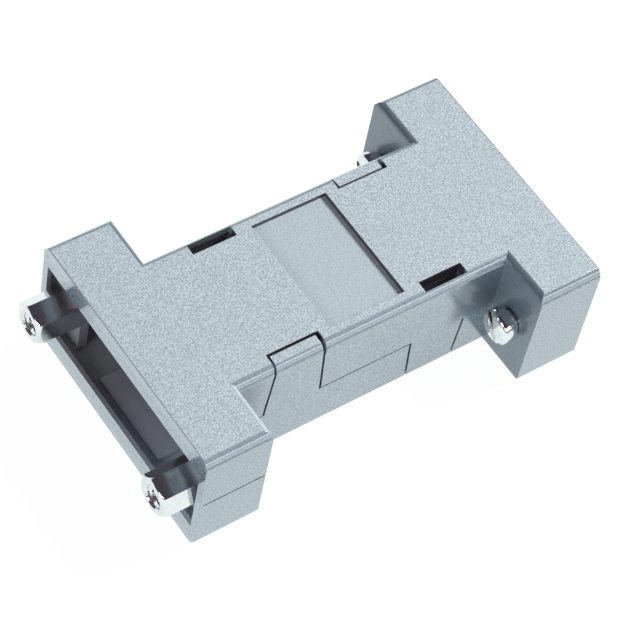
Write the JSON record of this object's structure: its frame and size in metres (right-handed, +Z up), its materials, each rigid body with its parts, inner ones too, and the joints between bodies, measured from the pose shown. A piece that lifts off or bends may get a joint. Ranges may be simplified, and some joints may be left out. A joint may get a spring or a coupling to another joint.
{
  "type": "two-port d-sub adapter hood",
  "caption": "H-shaped plastic adapter hood of two clip-together half shells, with hexagonal jack posts at one port and slotted jackscrews at the other.",
  "frame": {"origin": "middle of the bottom plane, under the middle of the hood", "axes": "+X along the hood from the jack posts towards the jackscrews, +Y to the rear, +Z up, square to the broad faces"},
  "size_m": [0.0581, 0.032, 0.0156],
  "materials": {
    "shell_plastic": "light blue-grey moulded plastic, spark-eroded texture on the broad faces",
    "bright_plate": "bright nickel plate on turned steel",
    "zinc_steel": "zinc plated steel"
  },
  "bodies": {
    "hood": {"lower_shell": "shell_plastic", "upper_shell": "shell_plastic", "jack_post_front": "bright_plate", "jack_post_rear": "bright_plate", "lock_washer_front": "zinc_steel", "lock_washer_rear": "zinc_steel", "hex_nut_front": "zinc_steel", "hex_nut_rear": "zinc_steel"},
    "front_screw": {"jackscrew_front": "bright_plate"},
    "rear_screw": {"jackscrew_rear": "bright_plate"}
  },
  "joints": [
    {"name": "front_screw_turn", "type": "hinge", "parent": "hood", "child": "front_screw", "pos_m": [0.0175, -0.01249, 0.0078], "axis": [1, 0, 0], "continuous": true},
    {"name": "rear_screw_turn", "type": "hinge", "parent": "hood", "child": "rear_screw", "pos_m": [0.0175, 0.01249, 0.0078], "axis": [1, 0, 0], "continuous": true}
  ]
}
